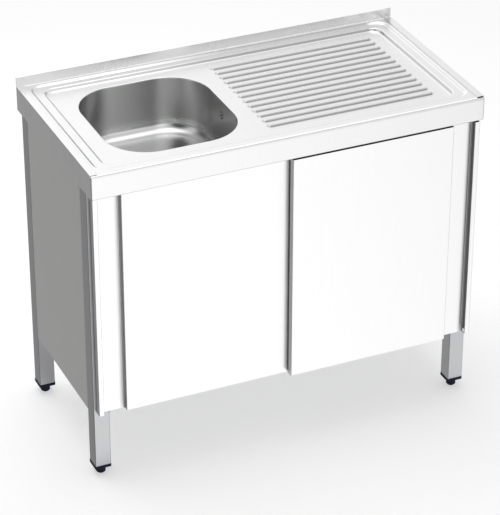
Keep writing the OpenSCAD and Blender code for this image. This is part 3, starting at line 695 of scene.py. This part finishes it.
def setRibs(bm, fieldMesh):
    before = set(bm.verts)
    bm.from_mesh(fieldMesh)
    added = [v for v in bm.verts if v not in before]
    bmesh.ops.scale(bm, vec=(1 / mm, 1 / mm, 1 / mm), verts=added)
    bmesh.ops.translate(bm, vec=(0, ribs["middleY"], trayZ), verts=added)


def worktopSkin(fieldMesh):
    bm = bmesh.new()
    closeSkirts(bm, foldFront(bm), foldBack(bm))
    stepRings = pressedRings(bm, step, plateZ)
    trayRings = pressedRings(bm, tray, plateZ - step["drop"])
    loft(bm, stepRings[-1], trayRings[0])
    fillFlat(bm, flatEdges(bm, plateZ))
    rollOpening(bm)
    setRibs(bm, fieldMesh)
    fillFlat(bm, flatEdges(bm, trayZ))
    return meshOf("worktopPressing", bm, closed=False)


def sideHems():
    # folded strips on the worktop's two sides, open at the front
    bm = bmesh.new()
    w = worktop
    inner, outer, top = topHigh.x - w["hemWidth"], topHigh.x, plateZ + w["hemRise"]
    path = bentPath([
        (inner, plateZ + w["hemGap"], 0), (inner, top, w["hemInnerBend"]), (outer, top, w["hemOuterBend"]),
        (outer, plateZ - w["edgeRadius"], 0),
    ], 4)
    front, back = topLow.y + w["notch"], topHigh.y - w["upstandThickness"]
    for side in (-1, 1):
        sheetStrip(bm, path, -w["hemSheet"], lambda u, v, y, side=side: (side * u, y, v), front, back)
    return meshOf("worktopHems", bm)


def worktopLips():
    # the folded lips under the apron, the skirts and the back
    bm = bmesh.new()
    sheet, lip = worktop["sheet"], worktop["lip"]
    x1, y0, y1 = topHigh.x - sheet, topLow.y + sheet, topHigh.y - sheet
    z0, z1 = topLow.z, topLow.z + sheet
    slab(bm, (-x1, y0, z0), (x1, y0 + lip, z1))
    slab(bm, (-x1, y1 - lip, z0), (x1, y1, z1))
    for side in (-1, 1):
        slab(bm, (side * x1, y0 + lip, z0), (side * (x1 - lip), y1 - lip, z1))
    return meshOf("worktopLips", bm)


# Bowl: drawn walls, floor fillet, fall to the waste, overflow holes

bowl = {
    "corner": 107.0, "cornerSteps": 20, "sheet": 1.0, "draft": 1.0, "flange": 6.0, "gap": 0.15, "ease": 0.05,
    "neck": 1.5, "rim": 1.3, "floorFillet": 30.0, "filletEnd": 268.8, "creaseZ": 722.0, "creaseAngle": 14.0,
    "creaseReach": 3.0, "creaseIn": 0.6, "floorRise": 3.0, "floorFall": 1.2, "fallPower": 1.6,
    "floorRings": 10, "seatRadius": 42.0, "seatFlat": 37.5, "holeRadius": 24.0,
    "sideShares": (0.03, 0.39, 0.61, 0.97), "wallFade": (-8.0, 6.0),
}
overflow = {"z": 791.0, "patch": 15.0, "ring": 8.5, "hole": 2.6, "holes": 6, "drillLength": 12, "facets": 20}
bowlLow, bowlHigh = span("bowl")
bowlMiddle = middleOf("bowl")
bowlWidth, bowlLength = (high - low - 2 * bowl["flange"] for low, high in zip(bowlLow[:2], bowlHigh[:2]))
seatZ = bowlLow.z + bowl["sheet"]


def bowlWallShade(finish):
    # painted shade: the walls above the fillet are painted darker than the floor, and are a little rougher
    return (finish.places()[2] - bowl["creaseZ"]).smooth(*bowl["wallFade"])


bowlFinish = steel(
    "drawn bowl steel", colour=(0.75, 0.755, 0.75), grain=(90.0, 90.0, 25.0), grainTone=0.12, cloudTone=0.25,
    bump=0.005, roughness=0.26, roughGrain=0.03, roughCloud=0.03, shade=bowlWallShade,
    shadeColour=(0.56, 0.565, 0.56), shadeRough=0.03,
)


def bowlRing(bm, inward, z, shares=()):
    # the opening's outline, moved inwards
    size = (bowlWidth - 2 * inward, bowlLength - 2 * inward)
    return addLoop(bm, roundRect(*size, bowl["corner"] - inward, z, bowlMiddle, bowl["cornerSteps"], shares))


def wastePoints(radius, z):
    # a circle about the waste, with as many points as the bowl's outline
    size = (2 * radius, 2 * radius)
    return roundRect(*size, radius, z, bowlMiddle, bowl["cornerSteps"], bowl["sideShares"])


def bowlProfile():
    # inward distance and height, from the flange down to the floor's edge
    b, roll = bowl, worktop["rollRadius"]
    top, flangeZ = trayZ - roll - worktop["rollFoot"], trayZ - worktop["sheet"] - b["gap"]
    points = [(-b["flange"], flangeZ), (-roll - b["neck"], flangeZ - b["ease"])]
    points += [(-b["rim"], top - b["ease"]), (0.0, top - b["ease"])]
    patchTop, patchFoot = overflow["z"] + overflow["patch"], overflow["z"] - overflow["patch"]
    draft = math.tan(math.radians(b["draft"]))
    for z in (patchTop, patchFoot, (patchFoot + b["creaseZ"]) / 2, b["creaseZ"] + b["creaseReach"]):
        points.append(((top - z) * draft, z))
    radius, turn = b["floorFillet"], math.radians(b["creaseAngle"])
    cx = (top - b["creaseZ"]) * draft + b["creaseIn"] + radius * math.cos(turn)
    cz = seatZ + b["floorRise"] + radius
    return points + arc((cx, cz), radius, 180 + b["creaseAngle"], b["filletEnd"], 12)


def bowlShell():
    bm = bmesh.new()
    b = bowl
    rings = [bowlRing(bm, inward, z, b["sideShares"]) for inward, z in bowlProfile()]
    edge = [v.co.copy() for v in rings[-1]]
    seat = [Vector(p) for p in wastePoints(b["seatRadius"], edge[0].z)]
    for i in range(b["floorRings"]):
        t = (i + 1) / b["floorRings"]
        fall = Vector((0, 0, b["floorFall"] * (1 - (1 - t) ** b["fallPower"])))
        rings.append(addLoop(bm, [p.lerp(q, t) - fall for p, q in zip(edge, seat)]))
    lipZ = rings[-1][0].co.z
    for inward, depth in stepCurve(lipZ - seatZ, b["seatRadius"] - b["seatFlat"], 5)[2:]:
        rings.append(addLoop(bm, wastePoints(b["seatRadius"] - inward, lipZ + depth)))
    rings.append(addLoop(bm, wastePoints(b["holeRadius"], seatZ)))
    loftAll(bm, rings)
    return meshOf("bowlShell", bm, closed=False)


def overflowDrills():
    # a ring of drills and one in the middle, across the bowl's right wall
    sizes = {"Holes": overflow["holes"], "Ring": overflow["ring"] * mm, "Hole": overflow["hole"] * mm}
    drills = Build("overflow drills", sizes)
    drill = drills.drill(drills.input("Hole"), overflow["drillLength"], overflow["facets"])
    ring = drills.ringOf(drill, drills.input("Holes"), drills.input("Ring"))
    x, y = bowlMiddle[0] + bowlWidth / 2, bowlMiddle[1]
    drills.finish(drills.placed(drills.joined(ring, drill), x, y, overflow["z"], math.pi / 2), bowlFinish)
    return drills.applyTo(meshOf("overflowDrills", bmesh.new(), closed=False))


print("worktop")
field = ribField()
pressing = worktopSkin(field.data)
bpy.data.objects.remove(field)
thicken(pressing, worktop["sheet"])
dress(pressing, worktopFinish, "cabinet", ["worktop"], sharpAngle=50)
dress(sideHems(), worktopFinish, "cabinet", ["worktop"])
dress(worktopLips(), worktopFinish, "cabinet", ["worktop"], bevel=worktop["lipEdge"])

print("bowl")
shell = thicken(bowlShell(), bowl["sheet"])
cutBy(shell, overflowDrills())
dress(shell, bowlFinish, "cabinet", ["bowl"], sharpAngle=45, even=False)


# Strainer with perforations, in the bowl's seat

strainer = {
    "radius": 36.0, "thickness": 2.0, "foot": 0.4, "edge": 0.3, "edgeDrop": 0.5, "facets": 48,
    "dish": 28.0, "dishDrop": 0.9, "slopeFoot": 5.0, "slopeTop": 1.0, "slopeDrop": 0.3,
    "neck": 23.7, "neckSheet": 1.0, "neckLength": 12.0, "hollow": 0.1, "screwHole": 3.1,
    "hole": 2.1, "holeFacets": 16, "drillLength": 8, "innerHoles": 8, "outerHoles": 16,
    "innerRing": 9.5, "outerRing": 16.1,
}


def strainerPlate():
    bm = bmesh.new()
    s = strainer
    top, low, neckFoot = seatZ + s["thickness"], seatZ + s["hollow"], seatZ - s["neckLength"]
    dished, wall, edge = top - s["dishDrop"], s["neck"] - s["neckSheet"], s["edge"]
    dish, slope, radius = s["dish"], s["slopeTop"], s["radius"]
    profile = [
        (s["screwHole"], dished), (dish - s["slopeFoot"], dished), (dish - slope, top - s["slopeDrop"]),
        (dish + slope, top), (radius - 4 * edge, top), (radius - edge, top - s["edgeDrop"]),
        (radius, seatZ + s["foot"]), (radius - s["foot"], seatZ), (s["neck"], seatZ),
        (s["neck"], neckFoot), (wall, neckFoot), (wall, low), (s["screwHole"], low), (s["screwHole"], dished),
    ]
    revolve(bm, profile, bowlMiddle, s["facets"])
    return meshOf("wasteStrainer", bm)


def strainerDrills():
    s = strainer
    sizes = {"Inner": s["innerHoles"], "Outer": s["outerHoles"], "Hole": s["hole"] * mm}
    drills = Build("strainer drills", sizes)
    drill = drills.drill(drills.input("Hole"), s["drillLength"], s["holeFacets"])
    inner = drills.ringOf(drill, drills.input("Inner"), s["innerRing"] * mm)
    outer = drills.ringOf(drill, drills.input("Outer"), s["outerRing"] * mm)
    drills.finish(drills.placed(drills.joined(inner, outer), *bowlMiddle, seatZ + 1), platedFinish)
    return drills.applyTo(meshOf("strainerDrills", bmesh.new(), closed=False))


dress(cutBy(strainerPlate(), strainerDrills()), platedFinish, "cabinet", ["waste_strainer"])


# Legs, plugs and feet

print("legs")
leg = {"corner": 2.0, "sheet": 1.2, "cornerSteps": 5}
plug = {
    "corner": 3.5, "edge": 0.8, "bore": 5.06, "play": 1.2, "coreCorner": 1.5, "taper": 1.5,
    "taperLength": 2.0,
}
foot = {
    "chamfer": 4.0, "soleEdge": 0.4, "sole": 1.5, "soleRise": 1.0, "edge": 1.0, "seat": 0.05, "facets": 28,
    "stud": 5.0, "pitch": 1.75, "thread": 0.55, "threadStart": 1.0, "threadEnd": 3.0, "tip": 1.5,
    "axis": 0.01,
}


def squarePiece(name, centre, plan):
    # a closed wall through square rings, each with its width, corner radius and height
    bm = bmesh.new()
    steps = leg["cornerSteps"]
    rings = [addLoop(bm, roundRect(width, width, corner, z, centre, steps)) for width, corner, z in plan]
    loftAll(bm, rings + rings[:1])
    return meshOf(name, bm)


def legTube(place):
    lo, hi = span("leg_" + place)
    size, corner, sheet = hi.x - lo.x, leg["corner"], leg["sheet"]
    outer, inner = (size, corner), (size - 2 * sheet, corner - sheet)
    plan = [(*outer, lo.z), (*outer, hi.z), (*inner, hi.z), (*inner, lo.z)]
    return squarePiece("tube_" + place, middleOf("leg_" + place), plan)


def legPlug(place):
    lo, hi = span("leg_plug_" + place)
    tubeFoot = span("leg_" + place)[0].z
    size, e, c, bore = hi.x - lo.x, plug["edge"], plug["corner"], (2 * plug["bore"], plug["bore"])
    core, inside = size - 2 * (leg["sheet"] + plug["play"]), plug["coreCorner"]
    plan = [
        (*bore, lo.z), (size - 2 * e, c, lo.z), (size - 0.5 * e, c, lo.z + 0.3 * e), (size, c, lo.z + e),
        (size, c, tubeFoot - e / 2), (size - e, c, tubeFoot), (core, inside, tubeFoot),
        (core, inside, hi.z - plug["taperLength"]), (core - 2 * plug["taper"], inside, hi.z), (*bore, hi.z),
    ]
    return squarePiece("plug_" + place, middleOf("leg_plug_" + place), plan)


def footKnob(place):
    lo, hi = span("foot_" + place)
    bm = bmesh.new()
    f, r = foot, (hi.x - lo.x) / 2
    knobTop = span("leg_plug_" + place)[0].z
    root, edge, chamferTop = f["stud"] - f["thread"], f["edge"], lo.z + f["chamfer"]
    profile = [
        (f["axis"], lo.z + f["soleEdge"]), (r - f["chamfer"] - f["sole"], lo.z + f["soleEdge"]),
        (r - f["chamfer"], lo.z), (r - f["soleEdge"], chamferTop - f["soleEdge"]),
        (r, chamferTop + f["soleRise"] - f["soleEdge"]), (r, knobTop - edge),
        (r - 0.3 * edge, knobTop - 0.3 * edge), (r - edge, knobTop - f["seat"]), (root, knobTop - f["seat"]),
    ]
    for i in range(int((hi.z - knobTop - f["threadEnd"]) / f["pitch"])):
        z = knobTop + f["threadStart"] + i * f["pitch"]
        profile += [(root, z), (f["stud"], z + 0.45 * f["pitch"]), (f["stud"], z + 0.55 * f["pitch"])]
    profile += [(root, hi.z - f["threadStart"]), (f["stud"] - f["tip"], hi.z), (f["axis"], hi.z)]
    revolve(bm, profile, middleOf("foot_" + place), f["facets"])
    bmesh.ops.remove_doubles(bm, verts=bm.verts, dist=3 * f["axis"])
    return meshOf("knob_" + place, bm)


for place in ("front_left", "front_right", "back_left", "back_right"):
    dress(legTube(place), legFinish, "cabinet", ["leg_" + place])
    dress(legPlug(place), blueFinish, "cabinet", ["leg_plug_" + place])
    dress(footKnob(place), blueFinish, "foot_" + place, ["foot_" + place], sharpAngle=35)


# Side and back panels, folded sheets

print("panels")
panel = {"sheet": 0.8, "bend": 1.8, "flange": 15.0, "gap": 0.05}


def foldedPanel(name, face, start, stop, heights, place):
    # a sheet with a flange at both ends and a lip at its foot; place turns (outwards, along, up) to the part
    bm = bmesh.new()
    sheet, bend = panel["sheet"], panel["bend"]
    flange, inset = face - panel["flange"], sheet + panel["gap"]
    path = bentPath([(flange, start, 0), (face, start, bend), (face, stop, bend), (flange, stop, 0)])
    sheetStrip(bm, path, sheet, place, *heights)
    foot = heights[0]
    slab(bm, place(flange, start + inset, foot), place(face - inset, stop - inset, foot + sheet))
    return meshOf(name, bm)


def sidePanel(end, side):
    lo, hi = span("side_panel_" + end)
    face = hi.x if side > 0 else -lo.x
    return foldedPanel("sideSheet_" + end, face, lo.y, hi.y, (lo.z, hi.z), lambda u, v, z: (side * u, v, z))


def backPanel():
    lo, hi = span("back_panel")
    return foldedPanel("backSheet", hi.y, lo.x, hi.x, (lo.z, hi.z), lambda u, v, z: (v, u, z))


for end, side in (("left", -1), ("right", 1)):
    dress(sidePanel(end, side), sideFinish, "cabinet", ["side_panel_" + end])
dress(backPanel(), backFinish, "cabinet", ["back_panel"])


# Doors: outer strip, handle channel and main panel in one folded skin

print("doors")
door = {
    "sheet": 0.8, "strip": 13.0, "channel": 57.0, "depth": 14.9, "bend": 1.4, "channelBend": 4.0, "lip": 11.0,
    "bendSteps": 6, "gap": 0.05, "relief": 12.0, "reliefWidth": 2.0, "reliefPast": 0.4, "reliefPlay": 0.2,
    "leftShade": 0.55, "rightShade": 1.0, "shadeFull": 4.8, "shadeReach": 16.0, "shadeEdge": 0.4,
}


def channelCornerShade(finish):
    # painted shade in the right-hand corners of the two handle channels, which catch little light
    x = finish.places()[0]
    leftWall = span("left_door_front")[0].x + door["strip"] + door["channel"]
    rightWall = span("right_door_front")[1].x - door["strip"]
    shares = []
    for wall, depth in ((leftWall, door["leftShade"]), (rightWall, door["rightShade"])):
        away = wall - x
        near = 1 - away.smooth(door["shadeFull"], door["shadeReach"])
        shares.append(away.smooth(-door["shadeEdge"], 0.0) * near * depth)
    return shares[0] + shares[1]


doorFinish = steel(
    "brushed door steel", colour=(0.95, 0.95, 0.95), grain=alongZ, roughness=0.30, shade=channelCornerShade,
    shadeColour=(0.50, 0.50, 0.51),
)


def doorSkin(end, side):
    # side is the way from the outer edge inwards along X
    lo, hi = span(end + "_door_front")
    bm = bmesh.new()
    width, depth, strip, deep = hi.x - lo.x, hi.y - lo.y, door["strip"], door["depth"]
    inner, sheet, bend, deepBend = strip + door["channel"], door["sheet"], door["bend"], door["channelBend"]
    outer = lo.x if side > 0 else hi.x

    def place(u, v, z):
        return (outer + side * u, lo.y + v, z)

    path = bentPath([
        (0, depth, 0), (0, 0, bend), (strip, 0, bend), (strip, deep, deepBend), (inner, deep, deepBend),
        (inner, 0, bend), (width, 0, bend), (width, depth, 0),
    ], door["bendSteps"])
    sheetStrip(bm, path, sheet, place, lo.z, hi.z)
    inset = sheet + door["gap"]
    for start, stop in ((inset, strip - inset), (inner + inset, width - inset)):
        for z in (lo.z, hi.z - sheet):
            slab(bm, place(start, inset, z), place(stop, door["lip"], z + sheet))

    # the relief cut at the channel's foot
    cutter = bmesh.new()
    start, stop = strip - sheet - door["reliefPast"], strip + door["reliefWidth"]
    slab(cutter, place(start, bend + door["reliefPlay"], lo.z + sheet + door["reliefPlay"]),
         place(stop, deep - deepBend, lo.z + door["relief"]))
    return cutBy(meshOf(end + "DoorSkin", bm), meshOf("reliefCutter", cutter))


for end, side in (("left", 1), ("right", -1)):
    dress(doorSkin(end, side), doorFinish, end + "_door", [end + "_door_front"])


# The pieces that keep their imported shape

print("kept pieces")
kept = [
    (platedFinish, ["waste_screw", "track_screws", "rail_screws", "guide_rivets", "left_axle_pins",
                    "right_axle_pins", "left_door_rivets", "right_door_rivets"]),
    (frameFinish, ["side_rail_left", "side_rail_right", "back_rail", "drainer_stiffener_front",
                   "drainer_stiffener_back", "shelf_stiffener"]),
    (shelfFinish, ["bottom_shelf"]),
    (backFinish, ["left_door_back", "right_door_back"]),
    (trackFinish, ["front_rail", "door_track", "left_hangers", "right_hangers"]),
    (boardFinish, ["left_door_core", "right_door_core"]),
    (paleFinish, ["waste_body", "overflow_housing", "overflow_pipe", "door_guide", "left_roller_outer",
                  "left_roller_inner", "right_roller_outer", "right_roller_inner"]),
    (rubberFinish, ["waste_gasket", "overflow_gasket", "track_stops"]),
]
for finish, nodes in kept:
    for node in nodes:
        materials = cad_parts[node].data.materials
        materials.clear()
        materials.append(finish)


# Camera, floor, world and lamp, in metres

camera = {
    "sensor": 36.0, "lens": 171.43, "place": (-2.14035, -4.79574, 3.42968), "clipEnd": 60.0,
    "azimuth": -24.064, "elevation": 30.108, "roll": 0.086,
}
floor = {
    "colour": 0.80, "lift": 0.50, "underLevel": 0.44, "underX": (0.44, 0.56), "underY": (0.19, 0.31),
    "reach": 20.0,
}
mirror = {
    "bright": 1.19, "worldDiffuse": 0.38, "upper": (0.0, 0.4), "upperRise": 0.13, "upperEase": 0.45,
    "upperShift": 0.12, "left": (-0.12, 0.34), "leftDepth": 0.80,
    "frontLeft": (0.35, 0.46), "front": (0.0, 0.4), "low": (0.1, 0.4), "frontLeftDepth": 0.95,
    "right": (0.30, 0.85), "rightDepth": 0.65, "upperRight": (0.1, 0.45), "upperRightDepth": 0.30,
    "rim": (0.42, 0.54), "rimHeight": (0.15, 0.45), "rimDepth": 0.75,
    "band": (0.2, 0.6), "bandFoot": (0.35, 0.75), "bandTop": (0.85, 1.0), "bandDepth": 0.42,
    "zenith": (0.78, 0.97), "zenithRise": 0.70,
}
lamp = {"power": 47.0, "place": (-0.3, 0.8, 3.5), "size": 2.8, "aim": (0.0, 0.0, 0.5)}


def setCamera():
    data = bpy.data.cameras.new("camera")
    data.sensor_width = camera["sensor"]
    data.lens = camera["lens"]
    data.clip_end = camera["clipEnd"]
    az, el, roll = (math.radians(camera[k]) for k in ("azimuth", "elevation", "roll"))
    back = Vector((math.sin(az) * math.cos(el), -math.cos(az) * math.cos(el), math.sin(el)))
    right = (-back).cross(Vector((0, 0, 1))).normalized()
    up = right.cross(-back)
    turnedRight = math.cos(roll) * right + math.sin(roll) * up
    turnedUp = -math.sin(roll) * right + math.cos(roll) * up
    matrix = Matrix((turnedRight, turnedUp, back)).transposed().to_4x4()
    matrix.translation = Vector(camera["place"])
    seen = addToScene("camera", data)
    seen.matrix_world = matrix
    bpy.context.scene.camera = seen


def layFloor():
    # a pale floor that holds the shadow, lifted so that it's white elsewhere
    finish = Finish("pale floor", {})
    pale = finish.add("ShaderNodeBsdfDiffuse", {}, {"Color": rgba([floor["colour"]] * 3)})
    lift = finish.add("ShaderNodeEmission", {}, {"Color": white, "Strength": floor["lift"]})
    lit = finish.add("ShaderNodeAddShader", {}, [pale, lift])
    # metal mirrors the floor under the cabinet alone, where a grey emission paints its shadow for reflections
    x, y = finish.split(finish.place)[:2]
    under = (1 - x.size().smooth(*floor["underX"])) * (1 - y.size().smooth(*floor["underY"]))
    shade = finish.add("ShaderNodeEmission", {}, {"Color": white, "Strength": floor["underLevel"]})
    mirrored = finish.add("ShaderNodeMixShader", {}, [under, finish.add("ShaderNodeBsdfTransparent"), shade])
    glossy = finish.add("ShaderNodeLightPath", output="Is Glossy Ray")
    seen = finish.add("ShaderNodeMixShader", {}, [glossy, lit, mirrored])
    finish.link(seen, finish.tree.nodes["Material Output"], "Surface")
    finish.tree.nodes.remove(finish.shader)
    bm = bmesh.new()
    bmesh.ops.create_grid(bm, x_segments=1, y_segments=1, size=floor["reach"] / mm)
    ground = meshOf("floor", bm, closed=False)
    ground.data.materials.append(finish.material)


def lightWorld():
    # white for the camera, even for soft light, and for metal to mirror a studio with a dark left side
    world = bpy.data.worlds.new("studio")
    bpy.context.scene.world = world
    world.use_nodes = True
    world.node_tree.nodes.clear()
    nodes = NodeTree(world.node_tree)
    m = mirror
    x, y, z = nodes.split(nodes.add("ShaderNodeTexCoord", output="Generated"))
    upper = z.smooth(*m["upper"])
    left = (-x - upper * m["upperShift"]).smooth(*m["left"]) * m["leftDepth"] * (1 - upper * m["upperEase"])
    frontLeft = (-x).smooth(*m["frontLeft"]) * (-y).smooth(*m["front"]) * (1 - (-z).smooth(*m["low"]))
    right = x.smooth(*m["right"]) * (1 - upper) * m["rightDepth"]
    upperRight = x.smooth(*m["upperRight"]) * upper * m["upperRightDepth"]
    rim = x.smooth(*m["rim"]) * (1 - z.size().smooth(*m["rimHeight"])) * m["rimDepth"]
    band = (-y).smooth(*m["band"]) * z.smooth(*m["bandFoot"]) * (1 - z.smooth(*m["bandTop"])) * m["bandDepth"]
    level = m["bright"] * (1 + z.smooth(*m["zenith"]) * m["zenithRise"] + upper * m["upperRise"])
    for dark in (left, frontLeft * m["frontLeftDepth"], right, upperRight, rim, band):
        level = level * (1 - dark)
    seen = nodes.add("ShaderNodeLightPath", output="Is Camera Ray")
    glossy = Wire(nodes, seen.socket.node.outputs["Is Glossy Ray"])
    strength = seen + glossy * level + (1 - seen - glossy) * m["worldDiffuse"]
    background = nodes.add("ShaderNodeBackground", {}, {"Color": white, "Strength": strength})
    nodes.add("ShaderNodeOutputWorld", {}, {"Surface": background})


def addLamp():
    data = bpy.data.lights.new("key", "AREA")
    data.energy = lamp["power"]
    data.shape = "SQUARE"
    data.size = lamp["size"]
    key = addToScene("key", data)
    key.visible_glossy = False
    key.location = lamp["place"]
    key.rotation_euler = (Vector(lamp["aim"]) - Vector(lamp["place"])).to_track_quat("-Z", "Y").to_euler()


print("studio")
setCamera()
layFloor()
lightWorld()
addLamp()
bpy.context.scene.view_settings.view_transform = "Standard"
